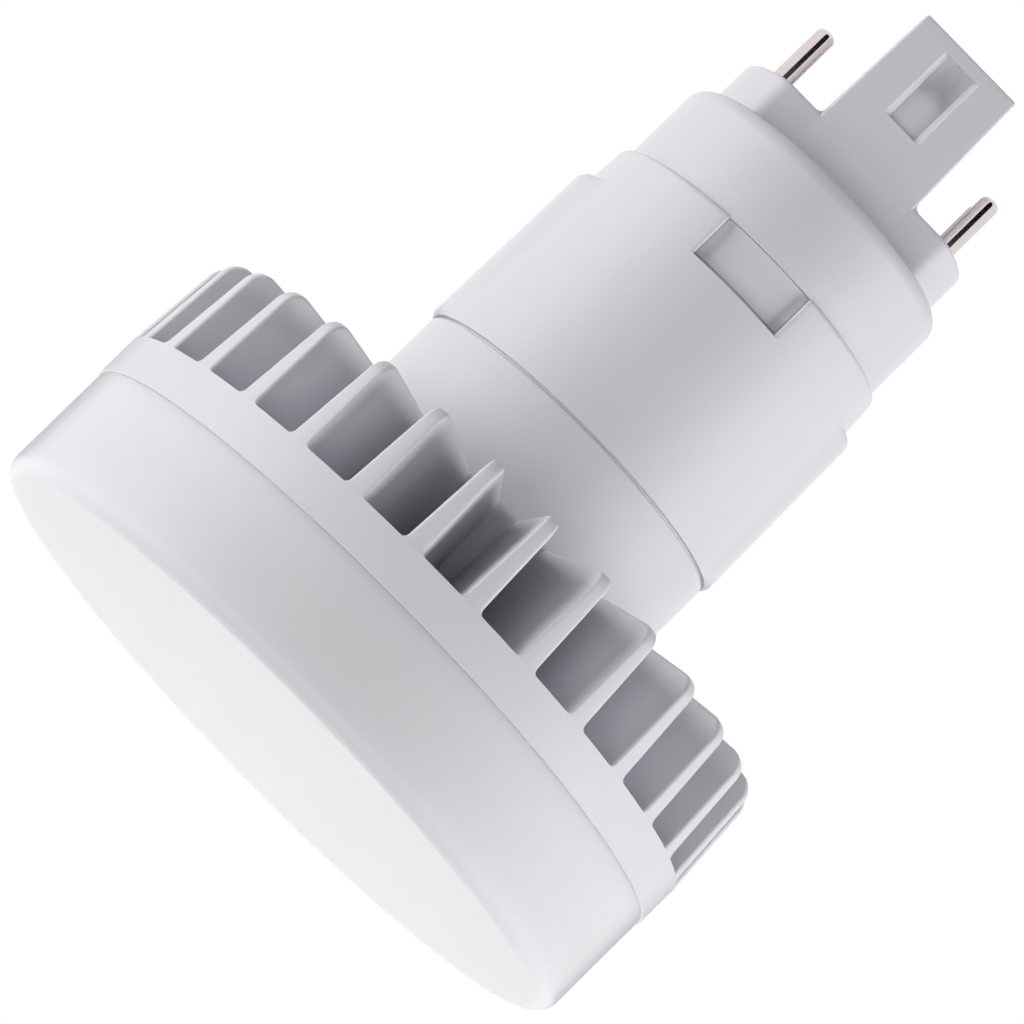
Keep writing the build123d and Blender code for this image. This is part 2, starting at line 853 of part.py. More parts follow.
def make_resistors():
    """Two axial resistors that lie across the board."""
    z = board_top - resistor_drop
    y = board_face_y - resistor_radius
    root = resistor_length / 2 - resistor_lead_root
    reach = resistor_length / 2 + resistor_lead_reach
    solids = []
    holes = []
    for x in (-resistor_x, resistor_x):
        body = Pos(x, y, z) * Rot(0, 90, 0) * Cylinder(resistor_radius, resistor_length)
        leads = [bent_lead((x + side * root, y, z), (x + side * reach, z)) for side in (-1, 1)]
        solids.append(body + leads)
        holes += [(x + side * reach, z) for side in (-1, 1)]
    return DriverPart("inrush_resistors", Compound(children=solids), holes)


def make_control_chip():
    """Eight-lead surface-mounted chip."""
    x = control_chip_x
    z = board_foot + control_chip_rise
    body = block(
        (x - control_chip_width / 2, x + control_chip_width / 2),
        (board_face_y - control_chip_depth, board_face_y - control_chip_stand),
        (z - control_chip_height / 2, z + control_chip_height / 2),
    )
    toe = block(
        (x - toe_width / 2, x + toe_width / 2),
        (board_face_y - toe_thickness, board_face_y),
        (z - toe_span / 2, z + toe_span / 2),
    )
    toes = [Pos(toe_pitch * step, 0, 0) * toe for step in (-1.5, -0.5, 0.5, 1.5)]
    return DriverPart("control_chip", body + toes, [])


def make_board(holes):
    """Upright driver board with a narrower head and a hole for each lead."""
    outline = Plane.XZ * make_face(Polyline(
        (-board_half_width, board_foot),
        (board_half_width, board_foot),
        (board_half_width, board_shoulder),
        (board_neck_half_width, board_shoulder + board_shoulder_slope),
        (board_neck_half_width, board_top),
        (-board_neck_half_width, board_top),
        (-board_neck_half_width, board_shoulder + board_shoulder_slope),
        (-board_half_width, board_shoulder),
        close=True,
    ))
    board = Pos(0, board_back_y, 0) * extrude(outline, board_thickness)
    drill = Rot(-90, 0, 0) * extrude(Circle(lead_radius), board_thickness + 2 * overrun)
    return board - [Pos(x, board_face_y - overrun, z) * drill for x, z in holes]


def make_wire(*points):
    """Insulated wire along straight runs joined by arcs."""
    path = FilletPolyline(*points, radius=wire_bend)
    return sweep(Plane(origin=path @ 0, z_dir=path % 0) * Circle(wire_radius), path=path)


def make_pin_wires():
    """Four wires, each from a pin's tail to its place on the driver board."""
    wires = []
    for x, y in pin_spots.values():
        land_x = wire_land_x if x > 0 else -wire_land_x
        if y < 0:
            face_y = board_face_y
            swing_y = face_y - wire_swing
            land_z = board_top - front_wire_land_drop
        else:
            face_y = board_back_y
            swing_y = face_y + wire_swing
            land_z = board_top - rear_wire_land_drop
        wires.append(make_wire(
            (x, y, pin_tail_end),
            (x, y, pin_tail_end - wire_drop),
            (land_x, swing_y, land_z),
            (land_x, face_y, land_z),
        ))
    return Compound(children=wires)


def make_led_wires():
    """Two wires from the driver board, down through the floor, to the LED board."""
    wires = []
    for x in (-led_wire_pitch / 2, led_wire_pitch / 2):
        wires.append(make_wire(
            (x, board_back_y, board_foot + led_wire_rise),
            (x, wire_hole_y, board_foot + led_wire_rise),
            (x, wire_hole_y, light_face),
        ))
    return Compound(children=wires)


bulk_can = make_can(bulk_can_x, bulk_can_rise, bulk_can_radius, bulk_can_length, bulk_can_lead_pitch)
output_can = make_can(
    output_can_x, output_can_rise, output_can_radius, output_can_length, output_can_lead_pitch
)
driver_parts = [
    *make_transformer(),
    DriverPart("bulk_capacitor", *bulk_can),
    DriverPart("output_capacitor", *output_can),
    make_film_capacitor(),
    make_rectifiers(),
    make_resistors(),
    make_control_chip(),
    make_inductor(),
]

save(make_diffuser(), "diffuser_cover")
save(make_heat_sink(), "heat_sink")
save(make_sleeve(), "driver_sleeve")
save(make_base_cap(), "base_cap")
for pin_name, spot in pin_spots.items():
    save(make_pin(*spot), pin_name)
save(make_thermal_pad(), "thermal_pad")
save(make_led_board(), "led_board")
save(make_chips(), "led_chips")
save(make_screws(), "board_screws")
save(make_liner(), "driver_liner")
save(make_board([hole for part in driver_parts for hole in part.holes]), "driver_board")
for part in driver_parts:
    save(part.solid, part.name)
save(make_pin_wires(), "pin_wires")
save(make_led_wires(), "led_wires")
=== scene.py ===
"""Four-pin plug-in LED lamp in a white studio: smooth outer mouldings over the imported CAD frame.

Lengths are in metres in the CAD's own frame: the diffuser's face lies on z = 0, the pins point up and
the front is -Y.
"""

import math

import bmesh
import bpy
import numpy as np
from mathutils import Matrix, Vector


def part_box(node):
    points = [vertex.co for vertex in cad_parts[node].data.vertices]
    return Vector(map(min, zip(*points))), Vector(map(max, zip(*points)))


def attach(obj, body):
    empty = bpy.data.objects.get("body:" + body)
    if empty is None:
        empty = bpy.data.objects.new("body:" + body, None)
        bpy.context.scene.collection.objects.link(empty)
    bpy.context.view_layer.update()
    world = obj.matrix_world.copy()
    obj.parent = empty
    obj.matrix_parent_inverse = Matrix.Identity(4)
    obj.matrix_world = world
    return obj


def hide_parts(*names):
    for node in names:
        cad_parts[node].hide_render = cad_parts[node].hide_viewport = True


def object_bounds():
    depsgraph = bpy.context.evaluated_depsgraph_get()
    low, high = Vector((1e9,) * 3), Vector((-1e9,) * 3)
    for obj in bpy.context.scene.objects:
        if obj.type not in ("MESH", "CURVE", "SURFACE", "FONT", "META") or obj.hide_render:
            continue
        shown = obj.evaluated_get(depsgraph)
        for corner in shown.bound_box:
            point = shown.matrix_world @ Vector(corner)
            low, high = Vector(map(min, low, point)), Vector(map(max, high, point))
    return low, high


bl_info = {
    "name": "Four-pin LED lamp",
    "version": (1, 0, 0),
    "blender": (4, 5, 0),
    "location": "View3D > Sidebar > Lamp",
    "description": "Builds a plug-in LED lamp and the studio it is photographed in",
    "category": "Object",
}

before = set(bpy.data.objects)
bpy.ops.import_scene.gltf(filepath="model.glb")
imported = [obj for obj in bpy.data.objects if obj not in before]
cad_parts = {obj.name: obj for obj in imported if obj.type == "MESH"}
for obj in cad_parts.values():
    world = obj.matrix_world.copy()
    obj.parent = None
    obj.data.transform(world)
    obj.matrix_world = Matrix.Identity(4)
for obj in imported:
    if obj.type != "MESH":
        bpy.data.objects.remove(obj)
cad_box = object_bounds()

MM = 0.001
# Points closer than this are welded
WELD = 0.0001 * MM
# Step to a close second row of points, which keeps the shading even at a solid's end, and least corner
HAIR = 0.02 * MM
# Points round the ring, round the sleeve and the cap, and round a pin
RING_POINTS, SLEEVE_POINTS, PIN_POINTS = 360, 256, 72

diffuser_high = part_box("diffuser_cover")[1]
sink_low, sink_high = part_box("heat_sink")
sleeve_low, sleeve_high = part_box("driver_sleeve")
base_low, base_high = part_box("base_cap")
PIN_NODES = [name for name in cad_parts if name.startswith("contact_pin")]

# Finishes of the parts inside, which keep the CAD's shapes: colour, roughness, metallic, grain size in
# millimetres and grain depth in hundredths of a millimetre
INNER_FINISHES = {
    "thermal_pad": ((0.26, 0.29, 0.33), 0.75, 0.0, 0.6, 0.30),
    "led_board": ((0.82, 0.82, 0.80), 0.35, 0.0, 1.5, 0.10),
    "led_chips": ((0.90, 0.66, 0.12), 0.30, 0.0, 0.5, 0.15),
    "board_screws": ((0.60, 0.60, 0.62), 0.30, 1.0, 0.4, 0.20),
    "driver_liner": ((0.74, 0.74, 0.70), 0.50, 0.0, 2.0, 0.15),
    "driver_board": ((0.02, 0.11, 0.04), 0.35, 0.0, 0.8, 0.20),
    "transformer_core": ((0.035, 0.035, 0.038), 0.65, 0.2, 0.3, 0.35),
    "transformer_winding": ((0.78, 0.48, 0.04), 0.30, 0.0, 0.7, 0.20),
    "bulk_capacitor": ((0.015, 0.016, 0.020), 0.30, 0.0, 1.2, 0.10),
    "output_capacitor": ((0.015, 0.016, 0.020), 0.30, 0.0, 1.2, 0.10),
    "film_capacitor": ((0.52, 0.34, 0.04), 0.40, 0.0, 0.8, 0.20),
    "bridge_rectifiers": ((0.006, 0.006, 0.007), 0.55, 0.0, 0.3, 0.30),
    "control_chip": ((0.006, 0.006, 0.007), 0.55, 0.0, 0.3, 0.30),
    "drum_inductor": ((0.040, 0.038, 0.036), 0.60, 0.2, 0.4, 0.30),
    "inrush_resistors": ((0.10, 0.19, 0.14), 0.60, 0.0, 0.4, 0.30),
    "pin_wires": ((0.70, 0.70, 0.67), 0.45, 0.0, 1.0, 0.15),
    "led_wires": ((0.45, 0.015, 0.010), 0.45, 0.0, 1.0, 0.15),
}
# How far the colours of those parts drift
INNER_SPREAD = 0.08


def length(name, text, value):
    """A size in metres that a user may change, given in millimetres."""
    return bpy.props.FloatProperty(
        name=name, description=text, default=value * MM, unit="LENGTH", precision=5
    )


def angle(name, text, degrees):
    """An angle that a user may change, given in degrees."""
    return bpy.props.FloatProperty(
        name=name, description=text, default=math.radians(degrees), unit="ROTATION"
    )


def colour(name, text, value):
    """A linear colour that a user may change."""
    return bpy.props.FloatVectorProperty(
        name=name, description=text, default=value, subtype="COLOR", size=3, min=0.0, max=1.0
    )


class DiffuserSizes(bpy.types.PropertyGroup):
    """Sizes of the diffuser cover."""

    wall: length("Wall", "Thickness of the cover", 1.5)
    corner: length("Corner", "Rounding between the face and the side", 2.0)
    lip: length("Lip round", "Rounding of the edge next to the heat sink", 0.06)
    spigot: length("Spigot", "Radius of the part that goes into the heat sink", 37.4)
    spigot_wall: length("Spigot wall", "Thickness of that part", 1.2)


class HeatSinkSizes(bpy.types.PropertyGroup):
    """Sizes of the heat sink."""

    fin_count: bpy.props.IntProperty(
        name="Fins", description="How many fins stand round the neck", default=30
    )
    floor: length("Floor", "Height of the floor that the fins stand on", 18.6)
    fin_height: length("Fin height", "Height of the fins above the floor", 12.7)
    fin_root: length("Fin root", "Thickness of a fin at the floor", 2.45)
    fin_crest: length("Fin crest", "Thickness of a fin at its top", 1.5)
    fin_corner: length("Fin corner", "Rounding of a fin's outer top corner", 2.2)
    fin_edge: length("Fin edge", "Rounding of a fin's long edges", 0.4)
    fin_foot: length("Fin foot", "Hollow rounding between a fin and the floor", 0.7)
    fin_lean: angle("Fin lean", "How far the fins' outer edges lean inwards", 3.9)
    turn: angle("Turn", "Turn of the fins against the base", -0.97)
    neck: length("Neck", "Radius of the neck", 19.45)
    neck_wall: length("Neck wall", "Thickness of the neck", 1.85)
    ring_edge: length("Ring edge", "Rounding of the ring's lower edge", 0.18)
    neck_edge: length("Neck edge", "Rounding of the neck's rim at the seam", 0.2)


class SleeveSizes(bpy.types.PropertyGroup):
    """Sizes of the driver sleeve."""

    foot: length("Foot", "Height of the sleeve's lower edge at the seam", 42.55)
    foot_radius: length("Foot radius", "Radius at the seam", 19.45)
    rim_radius: length("Rim radius", "Radius at the base cap", 18.2)
    wall: length("Wall", "Thickness of the sleeve", 1.6)
    rim_edge: length("Rim edge", "Rounding of the rim and of the windows", 0.55)
    groove: length("Seam groove", "Depth of the dark groove at the seam", 0.55)
    plug_radius: length("Plug radius", "Radius of the part that goes into the neck", 17.55)
    pad_width: length("Pad width", "Width of the raised pad on each side", 15.0)
    pad_top: length("Pad top", "Height of the pads' upper ends", 63.9)
    pad_foot: length("Pad foot radius", "Radius of the pads at the seam", 19.93)
    pad_head: length("Pad head radius", "Radius of the pads at their upper ends", 19.6)
    pad_head_edge: length("Pad head edge", "Rounding of the pads' upper ends", 1.0)
    pad_slope: length("Pad slope", "Width over which a pad rises from its side", 4.2)
    window_width: length("Window width", "Width of the latch windows", 11.56)
    window_height: length("Window height", "Height of the latch windows", 5.5)


class BaseSizes(bpy.types.PropertyGroup):
    """Sizes of the base cap, its platform and its post."""

    cap_height: length("Cap height", "Height of the round cap above the sleeve", 10.5)
    cap_edge: length("Cap edge", "Rounding of the cap's upper edge", 2.0)
    skirt: length("Skirt radius", "Radius of the skirt inside the sleeve", 16.52)
    skirt_wall: length("Skirt wall", "Thickness of the skirt", 1.4)
    tab_stand: length("Tab stand", "How far the latch tabs stand out of the skirt", 0.4)
    tab_fit: length("Tab side gap", "Gap at each side of a latch tab", 0.05)
    tab_gap: length("Tab end gap", "Gap above and below a latch tab", 0.05)
    tab_edge: length("Tab edge", "Slope at a latch tab's lower edge", 0.5)
    platform: length("Platform radius", "Radius of the pin platform", 15.4)
    platform_height: length("Platform height", "Height of the platform above the cap", 5.0)
    platform_corner: length("Platform corner", "Rounding of the platform's upright corners", 2.0)
    platform_edge: length("Platform edge", "Rounding of the platform's upper edge", 0.5)
    depth: length("Depth", "Depth of the platform and the post", 20.0)
    post_width: length("Post width", "Width of the post at its foot", 13.5)
    post_edge: length("Post edge", "Rounding of the post's edges", 0.3)
    post_foot: length("Post foot", "Hollow rounding at the post's foot", 0.7)
    post_taper: angle("Post taper", "Slope of the post's sides", 1.3)
    recess_mouth: length("Recess mouth", "Width of the recess at the face", 4.9)
    recess_width: length("Recess width", "Width of the recess at its floor", 3.6)
    recess_flare: length("Recess flare", "Depth that the sloping sides reach", 0.8)
    recess_start: length("Recess start", "Distance from the tip to the recess", 1.5)
    ramp_start: length("Ramp start", "Distance from the tip to the ramp", 4.5)
    ramp_end: length("Ramp end", "Distance from the tip to the ramp's end", 6.1)
    recess_end: length("Recess end", "Distance from the tip to the recess's lower end", 10.4)
    shallow: length("Shallow floor", "Depth of the recess just below the ramp", 0.7)
    deep: length("Deep floor", "Depth of the recess above the ramp", 1.5)


class PinSizes(bpy.types.PropertyGroup):
    """Sizes of the contact pins."""

    tip_edge: length("Tip edge", "Rounding of a pin's tip", 0.8)
    shank: length("Shank radius", "Radius of the part inside the base", 0.9)
    shank_length: length("Shank length", "Length of that part", 5.1)
    tail: length("Tail radius", "Radius of the tail that the wire goes to", 0.8)


class Finishes(bpy.types.PropertyGroup):
    """Colours of the mouldings and the metal."""

    diffuser: colour("Diffuser", "Milky cover", (0.77, 0.77, 0.80))
    heat_sink: colour("Heat sink", "Moulded heat sink", (0.73, 0.715, 0.76))
    sleeve: colour("Sleeve", "Moulded sleeve", (0.74, 0.725, 0.77))
    base: colour("Base", "Moulded base", (0.72, 0.705, 0.755))
    pins: colour("Pins", "Nickel plate", (0.72, 0.65, 0.65))


def bow(radius, start, end, steps):
    """Points on a circle about the origin: radius times the cosine and sine of angles, which are spread
    evenly from start to end degrees."""
    turn = np.radians(np.linspace(start, end, steps))
    return np.stack([radius * np.cos(turn), radius * np.sin(turn)], axis=1)


def shifted(points, *centre):
    """The same points, moved to a centre."""
    return points + np.array(centre)


def path(*runs):
    """Runs of points joined into one array."""
    return np.vstack([np.atleast_2d(np.array(run, float)) for run in runs])


def lofted(rings, caps=True):
    """Closed rings of points, shape rings x points x 3, joined ring to ring by quads, with a face at
    each end if caps is true."""
    count, size = rings.shape[:2]
    ring, point = np.meshgrid(np.arange(count - 1) * size, np.arange(size), indexing="ij")
    after = (point + 1) % size
    quads = np.stack([ring + point, ring + after, ring + size + after, ring + size + point], axis=-1)
    faces = quads.reshape(-1, 4).tolist()
    if caps:
        faces.append(list(range(size))[::-1])
        faces.append(list(range((count - 1) * size, count * size)))
    return rings.reshape(-1, 3), faces


def lathed(profile, segments):
    """Profile of radius and height turned about Z: each point becomes (radius cos a, radius sin a,
    height). It closes on the axis or by its own loop."""
    turn = np.linspace(0, 2 * math.pi, segments, endpoint=False)
    radius, height = profile[:, 0, None], profile[:, 1, None]
    x, y = radius * np.cos(turn), radius * np.sin(turn)
    return lofted(np.stack([x, y, np.broadcast_to(height, x.shape)], axis=-1), caps=False)


def turned_about(solid, degrees):
    """A solid turned about Z."""
    points, faces = solid
    cos, sin = math.cos(math.radians(degrees)), math.sin(math.radians(degrees))
    return points @ np.array([[cos, sin, 0], [-sin, cos, 0], [0, 0, 1]]), faces


def piece(name, solids, node, material, crease=35.0):
    """One object from several closed solids. It is welded, faces outwards, is smooth below the crease
    angle in degrees, rides on the root body and stands for a CAD node."""
    points, faces, start = [], [], 0
    for solid_points, solid_faces in solids:
        points.append(solid_points)
        faces += [[start + i for i in face] for face in solid_faces]
        start += len(solid_points)
    mesh = bpy.data.meshes.new(name)
    mesh.from_pydata(np.vstack(points).tolist(), [], faces)
    shape = bmesh.new()
    shape.from_mesh(mesh)
    bmesh.ops.remove_doubles(shape, verts=shape.verts, dist=WELD)
    bmesh.ops.recalc_face_normals(shape, faces=shape.faces)
    shape.to_mesh(mesh)
    shape.free()
    mesh.shade_smooth()
    mesh.set_sharp_from_angle(angle=math.radians(crease))
    mesh.materials.append(material)
    thing = bpy.data.objects.new(name, mesh)
    bpy.context.scene.collection.objects.link(thing)
    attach(thing, "root")
    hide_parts(node)
    return thing


# Noise of the slow mottle, per metre, and of the fine grain
MOTTLE_SCALE, MOTTLE_DETAIL = 45.0, 2.0
GRAIN_DETAIL, GRAIN_ROUGHNESS = 3.0, 0.6
# How far the mottle moves a roughness up and down
ROUGHNESS_DRIFT = 0.04
# Finish that the three satin mouldings share
SATIN = {"roughness": 0.36, "grain": 0.30, "depth": 0.08, "spread": 0.015}


def grain_group():
    """Node group for a moulded or worked surface: a slow mottle for the colour and the roughness, and a
    fine height for the bump."""
    found = bpy.data.node_groups.get("surface_grain")
    if found:
        return found
    group = bpy.data.node_groups.new("surface_grain", "ShaderNodeTree")
    wanted = [
        ("Vector", "INPUT", "NodeSocketVector", None),
        ("Grain per metre", "INPUT", "NodeSocketFloat", 1000.0),
        ("Mottle", "OUTPUT", "NodeSocketFloat", None),
        ("Height", "OUTPUT", "NodeSocketFloat", None),
    ]
    for name, way, kind, value in wanted:
        socket = group.interface.new_socket(name, in_out=way, socket_type=kind)
        if value is not None:
            socket.default_value = value
    start = group.nodes.new("NodeGroupInput")
    end = group.nodes.new("NodeGroupOutput")
    mottle = group.nodes.new("ShaderNodeTexNoise")
    mottle.inputs["Scale"].default_value = MOTTLE_SCALE
    mottle.inputs["Detail"].default_value = MOTTLE_DETAIL
    fine = group.nodes.new("ShaderNodeTexNoise")
    fine.inputs["Detail"].default_value = GRAIN_DETAIL
    fine.inputs["Roughness"].default_value = GRAIN_ROUGHNESS
    link = group.links.new
    link(start.outputs["Vector"], mottle.inputs["Vector"])
    link(start.outputs["Vector"], fine.inputs["Vector"])
    link(start.outputs["Grain per metre"], fine.inputs["Scale"])
    link(mottle.outputs["Fac"], end.inputs["Mottle"])
    link(fine.outputs["Fac"], end.inputs["Height"])
    return group


def finish(name, base, roughness, metallic=0.0, grain=1.0, depth=0.1, spread=0.03):
    """Material whose colour drifts slowly by the share spread, and its roughness with it, with a bump of
    grain millimetres across and depth hundredths of a millimetre deep."""
    material = bpy.data.materials.new(name)
    material.use_nodes = True
    nodes, link = material.node_tree.nodes, material.node_tree.links.new
    shader = nodes["Principled BSDF"]
    shader.inputs["Metallic"].default_value = metallic
    place = nodes.new("ShaderNodeTexCoord")
    surface = nodes.new("ShaderNodeGroup")
    surface.node_tree = grain_group()
    surface.inputs["Grain per metre"].default_value = 1.0 / (grain * MM)
    link(place.outputs["Object"], surface.inputs["Vector"])
    tint = nodes.new("ShaderNodeMix")
    tint.data_type = "RGBA"
    tint.inputs["A"].default_value = (*[c * (1 - spread) for c in base], 1)
    tint.inputs["B"].default_value = (*[min(c * (1 + spread), 1) for c in base], 1)
    link(surface.outputs["Mottle"], tint.inputs["Factor"])
    link(tint.outputs["Result"], shader.inputs["Base Color"])
    rough = nodes.new("ShaderNodeMapRange")
    rough.inputs["To Min"].default_value = roughness - ROUGHNESS_DRIFT
    rough.inputs["To Max"].default_value = roughness + ROUGHNESS_DRIFT
    link(surface.outputs["Mottle"], rough.inputs["Value"])
    link(rough.outputs["Result"], shader.inputs["Roughness"])
    bump = nodes.new("ShaderNodeBump")
    bump.inputs["Distance"].default_value = depth * MM / 100
    link(surface.outputs["Height"], bump.inputs["Height"])
    link(bump.outputs["Normal"], shader.inputs["Normal"])
    return material


def sizes(name):
    """The scene's size group of that name."""
    return getattr(bpy.context.scene, f"lamp_{name}")


# Light under the milky surface: share of it and how far it spreads
MILK_SHARE, MILK_SPREAD = 0.5, 3 * MM


class LAMP_OT_diffuser(bpy.types.Operator):
    """Add the milky diffuser cover"""

    bl_idname = "lamp.diffuser"
    bl_label = "Diffuser cover"

    def execute(self, context):
        s = sizes("diffuser")
        outer, inner = diffuser_high.x, diffuser_high.x - s.wall
        bore = s.spigot - s.spigot_wall
        rim = sink_low.z
        profile = path(
            (0, 0),
            (outer * 0.5, 0),
            shifted(bow(s.corner, -90, 0, 14), outer - s.corner, s.corner),
            shifted(bow(s.lip, 0, 90, 6), outer - s.lip, rim - s.lip),
            (s.spigot, rim),
            (s.spigot, diffuser_high.z),
            (bore, diffuser_high.z),
            (bore, rim - s.wall),
            (inner, rim - 3 * s.wall),
            (inner, 2 * s.wall),
            (inner - s.wall, s.wall),
            (0, s.wall),
        )
        finishes = sizes("finishes")
        material = finish("milky_cover", finishes.diffuser, 0.30, grain=0.25, depth=0.05, spread=0.012)
        shader = material.node_tree.nodes["Principled BSDF"]
        shader.inputs["Subsurface Weight"].default_value = MILK_SHARE
        shader.inputs["Subsurface Radius"].default_value = (1.0, 1.0, 1.0)
        shader.inputs["Subsurface Scale"].default_value = MILK_SPREAD
        piece("diffuser", [lathed(profile, RING_POINTS)], "diffuser_cover", material)
        return {"FINISHED"}


# Thickness of the ring's wall and of the floor that the fins stand on
RING_WALL, RING_FLOOR = 1.7 * MM, 2.6 * MM
# How far a fin runs into the neck and into the floor, and how far from the ring's side
FIN_IN_NECK, FIN_IN_FLOOR, FIN_FROM_SIDE = 0.5 * MM, 0.6 * MM, 0.3 * MM


def fin_solid(s):
    """One fin along +X. Its outline in the radial plane is a leaning edge, a corner arc and a level top.
    Across it, both long edges are quarter rounds, and the half thickness falls evenly with height and
    flares to the floor by a hollow arc."""
    edge, foot, corner = s.fin_edge, s.fin_foot, s.fin_corner
    start = s.neck - FIN_IN_NECK
    slope = math.tan(s.fin_lean)
    straight_end = s.fin_height - corner * (1 + math.sin(s.fin_lean))
    flare = foot * (1 - np.cos(np.linspace(0, math.pi / 2, 7)))
    lower = np.concatenate([flare, [straight_end * 0.5, straight_end]])
    leaning = np.stack([sink_high.x - slope * lower, s.floor + lower], axis=1)
    centre = leaning[-1] - corner * np.array([math.cos(s.fin_lean), math.sin(s.fin_lean)])
    leans = np.full(len(lower), s.fin_lean)
    arc = np.linspace(s.fin_lean, math.pi / 2, 9)[1:]
    outer = np.vstack([leaning, centre + corner * np.stack([np.cos(arc), np.sin(arc)], axis=1)])
    facing = np.concatenate([leans, arc])
    foot_x = sink_high.x - FIN_FROM_SIDE
    below = np.array([[foot_x, s.floor - FIN_IN_FLOOR], [foot_x, s.floor - HAIR]])
    outer = np.vstack([below, outer, [start, outer[-1, 1]]])
    facing = np.concatenate([[0, 0], facing, [math.pi / 2]])
    rise = np.clip(outer[:, 1] - s.floor, 0, None)
    half = (s.fin_root + (s.fin_crest - s.fin_root) * rise / s.fin_height) / 2
    hollow = foot - np.sqrt(np.clip(foot**2 - np.clip(foot - rise, 0, None) ** 2, 0, None))
    half = half + hollow
    inset = outer - edge * np.stack([np.cos(facing), np.sin(facing)], axis=1)
    round_off = np.linspace(90, 0, 6)
    away, aside = np.cos(np.radians(round_off)) * edge, np.sin(np.radians(round_off)) * edge
    away = np.concatenate([away, away[::-1]])
    side = np.concatenate([half[:, None] - edge + aside, -(half[:, None] - edge + aside)[:, ::-1]], axis=1)
    radial = inset[:, 0, None] + np.cos(facing)[:, None] * away
    height = inset[:, 1, None] + np.sin(facing)[:, None] * away
    radial = np.sqrt(np.clip(radial**2 - side**2, 0, None))
    ends = np.stack([np.full(len(outer), start), half, inset[:, 1]], axis=1)
    rim = np.stack([radial, side, height], axis=-1)
    rings = np.concatenate([ends[:, None], rim, (ends * [1, -1, 1])[:, None]], axis=1)
    return lofted(rings)


class LAMP_OT_heat_sink(bpy.types.Operator):
    """Add the ring, the neck and all the fins of the heat sink"""

    bl_idname = "lamp.heat_sink"
    bl_label = "Heat sink"

    def execute(self, context):
        s = sizes("heat_sink")
        ring, bore = sink_high.x, sink_high.x - RING_WALL
        under = s.floor - RING_FLOOR
        edge = s.ring_edge
        neck_bore = s.neck - s.neck_wall
        profile = path(
            (0, under),
            (bore, under),
            (bore, sink_low.z),
            shifted(bow(edge, -90, 0, 6), ring - edge, sink_low.z + edge),
            (ring, s.floor),
            (s.neck, s.floor),
            shifted(bow(s.neck_edge, 0, 90, 4), s.neck - s.neck_edge, sink_high.z - s.neck_edge),
            (neck_bore, sink_high.z),
            (neck_bore, s.floor),
            (0, s.floor),
        )
        fin = fin_solid(s)
        first = 180 / s.fin_count - 90 + math.degrees(s.turn)
        fins = [turned_about(fin, first + 360 / s.fin_count * i) for i in range(s.fin_count)]
        material = finish("satin_sink", sizes("finishes").heat_sink, **SATIN)
        piece("finned_sink", [lathed(profile, RING_POINTS), *fins], "heat_sink", material)
        return {"FINISHED"}


# How far a pad's toe stands back at the seam
PAD_TOE = 0.4 * MM
# How far past both sides of a pad's slope the next line of points stands
PAD_MARGIN = 0.6 * MM
# Wall of the part that goes into the neck, and how far it runs up into the sleeve
PLUG_WALL, PLUG_RISE = 1.3 * MM, 0.2 * MM
# The sleeve's upper solid reaches this far into the lower one, so that welding keeps the two closed
SLEEVE_OVERLAP = 0.0005 * MM
# Decimals of a metre in a row's height, so that rows which meet are one
ROW_DECIMALS = 8


def sleeve_radius(s, across, height):
    """Outer radius of the sleeve: the cone, which narrows evenly with height, plus a side pad. The pad's
    rise is the height of its leaning face over the cone, times half a cosine wave over the slope at its
    side, times a quarter ellipse at its head. A toe slopes off its foot. across is the distance inside
    the pad's side."""
    share = (height - s.foot) / (sleeve_high.z - s.foot)
    cone = s.foot_radius + (s.rim_radius - s.foot_radius) * share
    pad_share = (height - s.foot) / (s.pad_top - s.foot)
    face = s.pad_foot + (s.pad_head - s.pad_foot) * pad_share
    swell = (1 - np.cos(math.pi * np.clip(across / s.pad_slope, 0, 1))) / 2
    head_in = np.clip((height - s.pad_top) / s.pad_head_edge + 1, 0, 1)
    pad = cone + (face - cone) * swell * np.sqrt(1 - head_in**2)
    toe = s.pad_foot - PAD_TOE + (height - s.foot)
    return np.maximum(cone, np.minimum(pad, toe))


